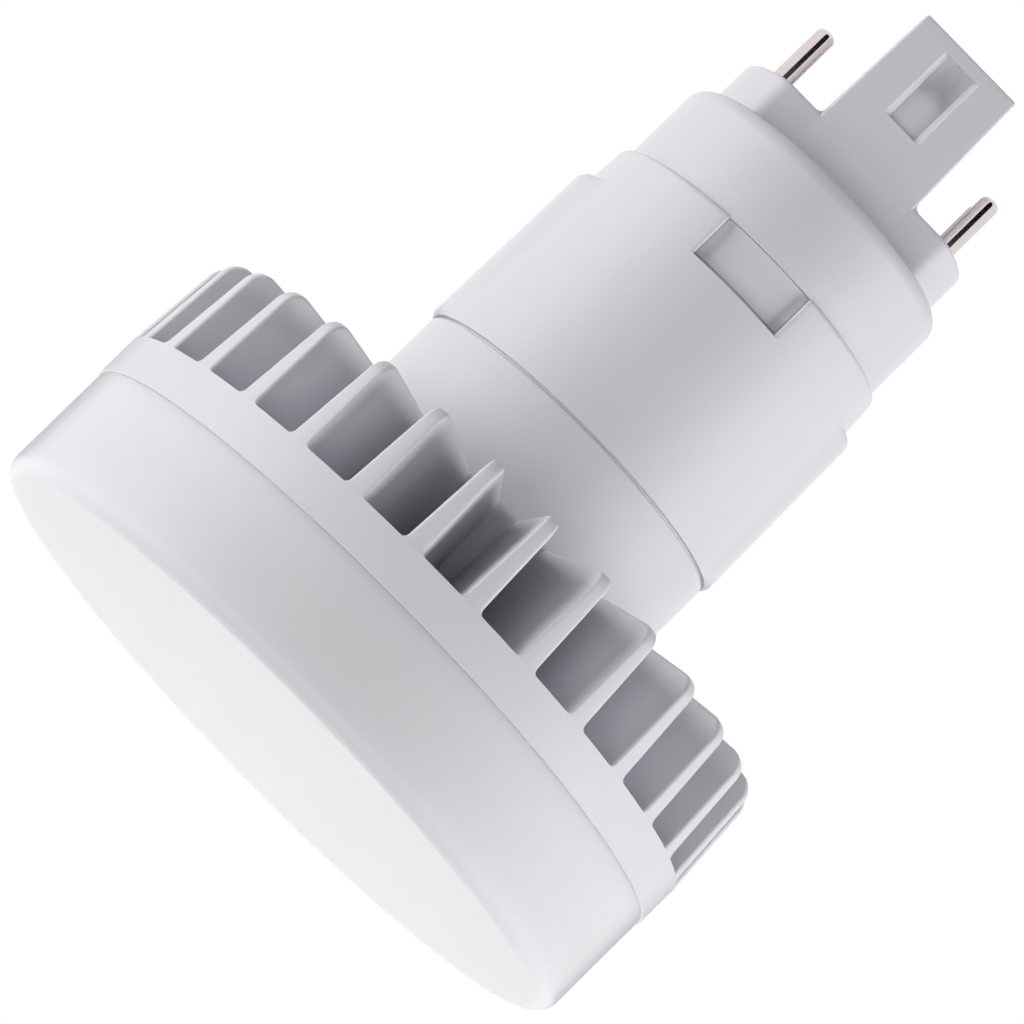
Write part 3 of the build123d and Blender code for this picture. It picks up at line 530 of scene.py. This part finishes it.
def sleeve_shell(s, low, high, windows):
    """Right half of the sleeve's wall between two heights: a ring of points at each place round it, up the
    outer radius and down the inner one. With windows, it stops at their flat sides, whose outer edges
    are quarter rounds, and its rim is one too."""
    edge = s.rim_edge
    half_pad, half_window = s.pad_width / 2, s.window_width / 2
    slope = np.linspace(0, 1, 13) * s.pad_slope
    beside = half_pad - np.concatenate([[-PAD_MARGIN], slope, [s.pad_slope + PAD_MARGIN]])
    pad_turn = np.arcsin(beside / s.pad_head)
    quarter = np.concatenate([np.linspace(0, 1, 7)[:-1] * pad_turn[-1], pad_turn[::-1]])
    if windows:
        cut = half_window + edge * (1 - np.cos(np.linspace(0, math.pi / 2, 7)))
        cut_turn = math.pi / 2 - np.arcsin(cut / s.rim_radius)
        between = np.linspace(pad_turn[0], cut_turn[-1], 16)[1:-1]
        turn = np.concatenate([quarter, between, cut_turn[::-1]])
        plane = np.concatenate([np.full(len(turn) - len(cut), np.nan), cut[::-1]])
    else:
        turn = np.concatenate([quarter, np.linspace(pad_turn[0], math.pi / 2, 28)[1:]])
        plane = np.full(len(turn), np.nan)
    turn = np.concatenate([-turn[:0:-1], turn])
    plane = np.concatenate([plane[:0:-1], plane])
    levels = [low, low + HAIR, low + edge * 0.3, low + edge, high - HAIR]
    pad_rows = s.pad_top - s.pad_head_edge * np.array([1, 0.8, 0.6, 0.4, 0.2, 0.08, 0.02, 0])
    rows = np.concatenate([levels, np.linspace(low + (high - low) * 0.1, high, 12), pad_rows])
    rows = np.unique(np.round(rows[(rows >= low) & (rows <= high)], ROW_DECIMALS))
    across = half_pad - np.abs(s.pad_head * np.sin(turn))
    if windows:
        swing = np.linspace(0, math.pi / 2, 6)
        rim = rows[-1] - edge + edge * np.sin(swing)
        rows = np.concatenate([rows[rows < high - edge], rim])
        outer = sleeve_radius(s, across[:, None], rows[None])
        outer[:, -len(swing) :] -= edge * (1 - np.cos(swing))
        inset = np.nan_to_num(edge - (plane - half_window))
        shrink = np.where(np.isnan(plane), 0, edge - np.sqrt(np.clip(edge**2 - inset**2, 0, None)))
        outer = outer - shrink[:, None]
    else:
        outer = sleeve_radius(s, across[:, None], rows[None])
    inner_share = (rows - s.foot) / (sleeve_high.z - s.foot)
    inner = s.foot_radius - s.wall + (s.rim_radius - s.foot_radius) * inner_share
    radius = np.concatenate([outer, np.broadcast_to(inner[::-1], outer.shape)], axis=1)
    height = np.broadcast_to(np.concatenate([rows, rows[::-1]]), radius.shape)
    radial_x, radial_y = radius * np.cos(turn)[:, None], radius * np.sin(turn)[:, None]
    flat_x = np.sqrt(np.clip(radius**2 - np.nan_to_num(plane)[:, None] ** 2, 0, None))
    on_plane = ~np.isnan(plane)[:, None]
    x = np.where(on_plane, np.nan_to_num(plane)[:, None], radial_x)
    y = np.where(on_plane, np.sign(turn)[:, None] * flat_x, radial_y)
    return np.stack([x, y, height], axis=-1)


class LAMP_OT_sleeve(bpy.types.Operator):
    """Add the tapered driver sleeve with its pads and latch windows"""

    bl_idname = "lamp.sleeve"
    bl_label = "Driver sleeve"

    def execute(self, context):
        s = sizes("sleeve")
        window_floor = sleeve_high.z - s.window_height
        band = sleeve_shell(s, s.foot, window_floor, False)
        upper = sleeve_shell(s, window_floor - SLEEVE_OVERLAP, sleeve_high.z, True)
        land = s.foot_radius - s.groove
        plug = path(
            (s.plug_radius, sleeve_low.z),
            (s.plug_radius, sink_high.z),
            (land, sink_high.z),
            (land, s.foot + PLUG_RISE),
            (s.plug_radius - PLUG_WALL, s.foot + PLUG_RISE),
            (s.plug_radius - PLUG_WALL, sleeve_low.z),
            (s.plug_radius, sleeve_low.z),
        )
        solids = [lathed(plug, SLEEVE_POINTS)]
        for turn in (0, 180):
            solids += [turned_about(lofted(band), turn), turned_about(lofted(upper), turn)]
        material = finish("satin_sleeve", sizes("finishes").sleeve, **SATIN)
        piece("sleeve_shell", solids, "driver_sleeve", material)
        return {"FINISHED"}


# Thickness of the cap's roof, and how far the platform and the post run down into it
CAP_ROOF, DOWN_IN_ROOF = 1.8 * MM, 1.5 * MM
# Slope of the cap's lower edge
CAP_FOOT_EDGE = 0.1 * MM


def mirrored_ring(quarter, height):
    """Closed ring at a height, from the quarter of its outline that runs from +X to +Y, mirrored twice."""
    top_half = path(quarter, (quarter * [-1, 1])[-2::-1])
    ring = path(top_half, (top_half * [1, -1])[-2:0:-1])
    return np.column_stack([ring, np.full(len(ring), height)])


def platform_rings(s, bottom, top):
    """Outline of the platform at rising heights: a circle cut flat front and rear, with rounded upright
    corners. At the top it shrinks along a quarter round."""
    edge = s.platform_edge
    swing = np.linspace(0, math.pi / 2, 7)
    insets = np.concatenate([[0], edge * (1 - np.cos(swing))])
    heights = np.concatenate([[bottom], top - edge + edge * np.sin(swing)])
    rings = []
    for inset, height in zip(insets, heights):
        radius, half, corner = s.platform - inset, s.depth / 2 - inset, s.platform_corner - inset
        centre = np.array([math.sqrt((radius - corner) ** 2 - (half - corner) ** 2), half - corner])
        turn = math.degrees(math.atan2(centre[1], centre[0]))
        corner_arc = shifted(bow(corner, turn, 90, 8), *centre)
        rings.append(mirrored_ring(path(bow(radius, 0, turn, 12)[:-1], corner_arc, (0, half)), height))
    return np.array(rings)


def recess_depth(s, x, height):
    """Depth of the recess: the lesser of its sloping sides and its floor, which from the tip down is deep,
    ramps out evenly and stays shallow."""
    from_tip = base_high.z - height
    mouth, floor_half = s.recess_mouth / 2, s.recess_width / 2
    side = (mouth - np.abs(x)) / (mouth - floor_half) * s.recess_flare
    side = np.where(np.abs(x) <= floor_half, s.deep, np.clip(side, 0, None))
    floor = np.interp(
        from_tip,
        [s.recess_start, s.ramp_start, s.ramp_end, s.recess_end],
        [s.deep, s.deep, s.shallow, s.shallow],
        left=0.0,
        right=0.0,
    )
    return np.minimum(side, floor)


# The post's faces run down over the platform's, so they stand this far in front of them
POST_PROUD = 0.01 * MM
# Drop at the recess's ends and sides
RECESS_STEP = 0.001 * MM
# Rows of points: the two above the recess's lower end, and the one below its upper end
FIRST_ROW, NEXT_ROW, UPPER_ROW = 0.12 * MM, 0.5 * MM, 0.6 * MM
# Rows of points below the recess: how far the first is above the post's foot, and the last below it
FOOT_ROW, LAST_ROW = 4 * MM, 1 * MM
# Lines of points up the recess's floor, and up the face beside it
FLOOR_LINE, FACE_LINE = 0.6 * MM, 0.5 * MM


def post_rings(s, bottom):
    """Outline of the post at rising heights: a rounded rectangle that narrows evenly, with its front and
    rear pressed in by the recess. At the tip it shrinks along a quarter round."""
    edge, tip = s.post_edge, base_high.z
    recess_top, ramp_top = tip - s.recess_start, tip - s.ramp_start
    ramp_foot, recess_foot = tip - s.ramp_end, tip - s.recess_end
    swing = np.linspace(0, math.pi / 2, 6)
    heights = np.hstack(
        [
            bottom,
            np.linspace(bottom + FOOT_ROW, recess_foot - RECESS_STEP - LAST_ROW, 3),
            (recess_foot - RECESS_STEP, recess_foot, recess_foot + FIRST_ROW),
            np.linspace(recess_foot + NEXT_ROW, ramp_foot, 5),
            np.linspace(ramp_foot, ramp_top, 7)[1:],
            (recess_top - UPPER_ROW, recess_top, recess_top + RECESS_STEP),
            tip - edge + edge * np.sin(swing),
        ]
    )
    insets = np.concatenate([np.zeros(len(heights) - len(swing)), edge * (1 - np.cos(swing))])
    mouth, floor_half = s.recess_mouth / 2, s.recess_width / 2
    inner_lines = [0, FLOOR_LINE, 2 * FLOOR_LINE, floor_half - RECESS_STEP, floor_half]
    lines = [*inner_lines, (floor_half + mouth) / 2, mouth, mouth + FACE_LINE]
    rise = math.tan(s.post_taper)
    rings = []
    for height, inset in zip(heights, insets):
        half = s.post_width / 2 - rise * (height - platform_top(s)) - inset
        deep = s.depth / 2 + POST_PROUD - inset
        corner = max(edge - inset, HAIR)
        corner_arc = shifted(bow(corner, 0, 90, 6), half - corner, deep - corner)
        front_x = np.array([half - corner, *lines[::-1]])[1:]
        front = np.column_stack([front_x, deep - recess_depth(s, front_x, height)])
        rings.append(mirrored_ring(path((half, 0), corner_arc, front), height))
    return np.array(rings)


def platform_top(s):
    """Height of the platform's upper face."""
    return sleeve_high.z + s.cap_height + s.platform_height


# How far the hollow rounding runs into the post and the platform
FILLET_IN = 0.3 * MM


def foot_fillet(s, side):
    """Hollow rounding between the post's side and the platform: a bar whose section is a square corner
    with a quarter circle taken out."""
    low, half = platform_top(s), s.post_width / 2
    arc = shifted(bow(s.post_foot, 270, 180, 9), half + s.post_foot, low + s.post_foot)
    inside, under = half - FILLET_IN, low - FILLET_IN
    section = path(arc, (inside, low + s.post_foot), (inside, under), (half + s.post_foot, under))
    deep = s.depth / 2 - s.platform_edge * 0.5
    x, height = side * section[:, 0], section[:, 1]
    return lofted(np.array([np.column_stack([x, np.full(len(x), y), height]) for y in (-deep, deep)]))


def tab_solid(s, sleeve):
    """Latch tab at the front: a stretch of a cylinder's wall between two flat sides, with a sloping lower
    edge. Its depth is the root of the radius squared less the sideways place squared."""
    half = sleeve.window_width / 2 - s.tab_fit
    low = sleeve_high.z - sleeve.window_height + s.tab_gap
    high = sleeve_high.z - s.tab_gap
    inner, outer = s.skirt - s.skirt_wall / 2, s.skirt + s.tab_stand
    slope = (outer - s.tab_edge, low), (outer, low + s.tab_edge)
    section = path((inner, low), *slope, (outer, high), (inner, high))
    x = np.linspace(-half, half, 17)[:, None]
    radius = section[None, :, 0]
    y = -np.sqrt(radius**2 - x**2)
    x, height = np.broadcast_to(x, y.shape), np.broadcast_to(section[None, :, 1], y.shape)
    return lofted(np.stack([x, y, height], axis=-1))


class LAMP_OT_base(bpy.types.Operator):
    """Add the base: cap, latch tabs, pin platform and post"""

    bl_idname = "lamp.base"
    bl_label = "Base"

    def execute(self, context):
        s, sleeve = sizes("base"), sizes("sleeve")
        cap, edge, rim = base_high.x, s.cap_edge, sleeve_high.z
        cap_top = rim + s.cap_height
        bore = s.skirt - s.skirt_wall
        profile = path(
            (bore, base_low.z),
            (s.skirt, base_low.z),
            (s.skirt, rim),
            (cap - CAP_FOOT_EDGE, rim),
            (cap, rim + CAP_FOOT_EDGE),
            shifted(bow(edge, 0, 90, 14), cap - edge, cap_top - edge),
            (0, cap_top),
            (0, cap_top - CAP_ROOF),
            (bore, cap_top - CAP_ROOF),
            (bore, base_low.z),
        )
        top = platform_top(s)
        solids = [
            lathed(profile, SLEEVE_POINTS),
            lofted(platform_rings(s, cap_top - DOWN_IN_ROOF, top)),
            lofted(post_rings(s, cap_top - DOWN_IN_ROOF)),
            foot_fillet(s, 1),
            foot_fillet(s, -1),
        ]
        tab = tab_solid(s, sleeve)
        solids += [tab, turned_about(tab, 180)]
        material = finish("satin_base", sizes("finishes").base, **SATIN)
        piece("base_moulding", solids, "base_cap", material, crease=30.0)
        return {"FINISHED"}


class LAMP_OT_pins(bpy.types.Operator):
    """Add the four nickel-plated contact pins"""

    bl_idname = "lamp.pins"
    bl_label = "Contact pins"

    def execute(self, context):
        s = sizes("pins")
        top = platform_top(sizes("base"))
        plate = sizes("finishes").pins
        material = finish("nickel_plate", plate, 0.14, metallic=1.0, grain=0.5, depth=0.001)
        for node in PIN_NODES:
            low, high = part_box(node)
            radius, edge = (high.x - low.x) / 2, s.tip_edge
            profile = path(
                (0, low.z),
                (s.tail, low.z),
                (s.tail, top - s.shank_length),
                (s.shank, top - s.shank_length),
                (s.shank, top),
                (radius, top),
                shifted(bow(edge, 0, 90, 10), radius - edge, high.z - edge),
                (0, high.z),
            )
            points, faces = lathed(profile, PIN_POINTS)
            middle = np.array([(low.x + high.x) / 2, (low.y + high.y) / 2, 0])
            piece(node.replace("contact_pin", "nickel_pin"), [(points + middle, faces)], node, material)
        return {"FINISHED"}


class LAMP_OT_inside(bpy.types.Operator):
    """Give the closed-in parts their finishes"""

    bl_idname = "lamp.inside"
    bl_label = "Inside parts"

    def execute(self, context):
        for node, (base, roughness, metallic, grain, depth) in INNER_FINISHES.items():
            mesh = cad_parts[node].data
            mesh.materials.clear()
            material = finish(f"{node}_finish", base, roughness, metallic, grain, depth, INNER_SPREAD)
            mesh.materials.append(material)
        return {"FINISHED"}


# Camera, seen from the middle of the diffuser's face: distance, angles in degrees, shift and lens
CAMERA_DISTANCE = 1.2
CAMERA_AZIMUTH = -0.9
CAMERA_ELEVATION = -8.913
CAMERA_RIGHT = 0.278 * MM
CAMERA_UP = 33.733 * MM
CAMERA_ROLL = 44.44
CAMERA_LENS, CAMERA_SENSOR = 415.6, 36.0
CAMERA_CLIP = 0.05, 10.0
# Lamps: name, azimuth and elevation in degrees, and power in watts
LAMPS = (
    ("left_light", -74.0, 0.0, 7.2),
    ("right_light", 74.0, 0.0, 8.4),
    ("far_left_light", -100.0, 0.0, 1.9),
    ("front_light", 0.0, -35.0, 2.3),
    ("under_light", 0.0, -60.0, 0.9),
    ("rear_light", 180.0, -30.0, 8.6),
    ("rear_under_light", 180.0, -60.0, 1.9),
    ("top_light", 0.0, 85.0, 0.8),
)
# Distance of every lamp from the middle of the object, and its width, in metres
LAMP_DISTANCE, LAMP_SIZE = 0.9, 0.8
# Light of the world on the object, which the lamps add to
WORLD_LIGHT = (0.020, 0.020, 0.021)
# Floor: its colour, the white it gives off to stay pale from above, and half its width in metres
FLOOR_COLOUR = (0.55, 0.55, 0.56)
FLOOR_WHITE = 0.58
FLOOR_HALF = 0.6
# Black cards that only gloss shows: name, azimuth, distance, width, lower edge and upper edge in metres
CARDS = (
    ("front_card", 3.0, 0.50, 0.50, 0.155, 1.40),
    ("left_card", -163.0, 0.25, 0.17, 0.00, 0.062),
    ("right_card", 163.0, 0.25, 0.17, 0.00, 0.062),
)


def direction(azimuth, elevation):
    """Unit vector from the lamp towards a place round it."""
    a, e = math.radians(azimuth), math.radians(elevation)
    return Vector((math.sin(a) * math.cos(e), -math.cos(a) * math.cos(e), math.sin(e)))


def white_backdrop():
    """World that lights the object softly and is white wherever the camera, gloss or glass looks at it."""
    world = bpy.data.worlds.new("white_backdrop")
    world.use_nodes = True
    nodes, link = world.node_tree.nodes, world.node_tree.links.new
    light = nodes["Background"]
    light.inputs["Color"].default_value = (*WORLD_LIGHT, 1)
    white = nodes.new("ShaderNodeBackground")
    white.inputs["Color"].default_value = (1, 1, 1, 1)
    mix, ray = nodes.new("ShaderNodeMixShader"), nodes.new("ShaderNodeLightPath")
    seen = seen_by(nodes, link, ray)
    link(seen, mix.inputs["Fac"])
    link(light.outputs["Background"], mix.inputs[1])
    link(white.outputs["Background"], mix.inputs[2])
    link(mix.outputs["Shader"], nodes["World Output"].inputs["Surface"])
    bpy.context.scene.world = world


def seen_by(nodes, link, ray):
    """1 for camera, glossy and transmission rays, and 0 for the rest."""
    first, both = nodes.new("ShaderNodeMath"), nodes.new("ShaderNodeMath")
    first.operation = both.operation = "MAXIMUM"
    link(ray.outputs["Is Camera Ray"], first.inputs[0])
    link(ray.outputs["Is Glossy Ray"], first.inputs[1])
    link(first.outputs["Value"], both.inputs[0])
    link(ray.outputs["Is Transmission Ray"], both.inputs[1])
    return both.outputs["Value"]


def floor_material():
    """Pale floor that gives off a little white of its own. Only the camera sees it, and only from above, so
    that from below the lamp is seen and lit through it."""
    material = bpy.data.materials.new("pale_floor")
    material.use_nodes = True
    nodes, link = material.node_tree.nodes, material.node_tree.links.new
    shader = nodes["Principled BSDF"]
    shader.inputs["Base Color"].default_value = (*FLOOR_COLOUR, 1)
    shader.inputs["Roughness"].default_value = 0.9
    shader.inputs["Emission Color"].default_value = (1, 1, 1, 1)
    shader.inputs["Emission Strength"].default_value = FLOOR_WHITE
    clear, mix = nodes.new("ShaderNodeBsdfTransparent"), nodes.new("ShaderNodeMixShader")
    ray, side = nodes.new("ShaderNodeLightPath"), nodes.new("ShaderNodeNewGeometry")
    above, both = nodes.new("ShaderNodeMath"), nodes.new("ShaderNodeMath")
    above.operation, both.operation = "SUBTRACT", "MULTIPLY"
    above.inputs[0].default_value = 1.0
    link(side.outputs["Backfacing"], above.inputs[1])
    link(above.outputs["Value"], both.inputs[0])
    link(ray.outputs["Is Camera Ray"], both.inputs[1])
    link(both.outputs["Value"], mix.inputs["Fac"])
    link(clear.outputs["BSDF"], mix.inputs[1])
    link(shader.outputs["BSDF"], mix.inputs[2])
    link(mix.outputs["Shader"], nodes["Material Output"].inputs["Surface"])
    return material


def black_card(name, azimuth, distance, width, low, high):
    """Upright black card that only glossy rays see, at a distance from the lamp's axis and facing it."""
    material = bpy.data.materials.new(name)
    material.use_nodes = True
    shader = material.node_tree.nodes["Principled BSDF"]
    shader.inputs["Base Color"].default_value = (0.0, 0.0, 0.0, 1)
    shader.inputs["Specular IOR Level"].default_value = 0.0
    way = direction(azimuth, 0)
    aside = way.cross(Vector((0, 0, 1))) * width / 2
    places = (-1, low), (1, low), (1, high), (-1, high)
    corners = [way * distance + aside * side + Vector((0, 0, z)) for side, z in places]
    mesh = bpy.data.meshes.new(name)
    mesh.from_pydata(corners, [], [(0, 1, 2, 3)])
    mesh.materials.append(material)
    card = bpy.data.objects.new(name, mesh)
    card.visible_camera = card.visible_diffuse = card.visible_transmission = card.visible_shadow = False
    bpy.context.scene.collection.objects.link(card)


class LAMP_OT_stage(bpy.types.Operator):
    """Add the floor, the lights, the white backdrop and the camera"""

    bl_idname = "lamp.stage"
    bl_label = "Studio"

    def execute(self, context):
        scene = context.scene
        scene.view_settings.view_transform = "Standard"
        white_backdrop()
        corners = [(x * FLOOR_HALF, y * FLOOR_HALF, 0) for x, y in ((-1, -1), (1, -1), (1, 1), (-1, 1))]
        mesh = bpy.data.meshes.new("floor")
        mesh.from_pydata(corners, [], [(0, 1, 2, 3)])
        mesh.materials.append(floor_material())
        floor = bpy.data.objects.new("floor", mesh)
        scene.collection.objects.link(floor)
        middle = (cad_box[0] + cad_box[1]) / 2
        for name, azimuth, elevation, power in LAMPS:
            light = bpy.data.lights.new(name, "AREA")
            light.shape = "SQUARE"
            light.size, light.energy = LAMP_SIZE, power
            lamp = bpy.data.objects.new(name, light)
            lamp.visible_glossy = False
            way = direction(azimuth, elevation)
            lamp.location = middle + way * LAMP_DISTANCE
            lamp.rotation_euler = (-way).to_track_quat("-Z", "Y").to_euler()
            scene.collection.objects.link(lamp)
        for card in CARDS:
            black_card(*card)
        back = direction(CAMERA_AZIMUTH, CAMERA_ELEVATION)
        swing = math.radians(CAMERA_AZIMUTH)
        right = Vector((math.cos(swing), math.sin(swing), 0))
        up = back.cross(right)
        roll = math.radians(CAMERA_ROLL)
        picture_right = right * math.sin(roll) + up * math.cos(roll)
        picture_up = up * math.sin(roll) - right * math.cos(roll)
        camera = bpy.data.objects.new("camera", bpy.data.cameras.new("camera"))
        camera.data.lens, camera.data.sensor_width = CAMERA_LENS, CAMERA_SENSOR
        camera.data.clip_start, camera.data.clip_end = CAMERA_CLIP
        place = back * CAMERA_DISTANCE + right * CAMERA_RIGHT + up * CAMERA_UP
        turn = Matrix((picture_right, picture_up, back)).transposed()
        camera.matrix_world = Matrix.Translation(place) @ turn.to_4x4()
        scene.collection.objects.link(camera)
        scene.camera = camera
        return {"FINISHED"}


GROUPS = {
    "diffuser": DiffuserSizes,
    "heat_sink": HeatSinkSizes,
    "sleeve": SleeveSizes,
    "base": BaseSizes,
    "pins": PinSizes,
    "finishes": Finishes,
}
OPERATORS = (
    LAMP_OT_diffuser,
    LAMP_OT_heat_sink,
    LAMP_OT_sleeve,
    LAMP_OT_base,
    LAMP_OT_pins,
    LAMP_OT_inside,
    LAMP_OT_stage,
)


class LAMP_PT_panel(bpy.types.Panel):
    """Lists the lamp's operators and sizes in the sidebar"""

    bl_label = "LED lamp"
    bl_idname = "LAMP_PT_panel"
    bl_space_type = "VIEW_3D"
    bl_region_type = "UI"
    bl_category = "Lamp"

    def draw(self, context):
        for operator in OPERATORS:
            self.layout.operator(operator.bl_idname)
        for name, group in GROUPS.items():
            box = self.layout.box()
            box.label(text=name.replace("_", " "))
            for prop in group.__annotations__:
                box.prop(sizes(name), prop)


def register():
    """Registers the size groups, the operators and the panel."""
    for name, group in GROUPS.items():
        bpy.utils.register_class(group)
        setattr(bpy.types.Scene, f"lamp_{name}", bpy.props.PointerProperty(type=group))
    for part in (*OPERATORS, LAMP_PT_panel):
        bpy.utils.register_class(part)


def unregister():
    """Takes the panel, the operators and the size groups out again."""
    for part in (LAMP_PT_panel, *reversed(OPERATORS)):
        bpy.utils.unregister_class(part)
    for name, group in reversed(GROUPS.items()):
        delattr(bpy.types.Scene, f"lamp_{name}")
        bpy.utils.unregister_class(group)


def main():
    """Builds the whole picture."""
    register()
    bpy.ops.lamp.diffuser()
    bpy.ops.lamp.heat_sink()
    bpy.ops.lamp.sleeve()
    bpy.ops.lamp.base()
    bpy.ops.lamp.pins()
    bpy.ops.lamp.inside()
    bpy.ops.lamp.stage()


if __name__ == "__main__":
    main()
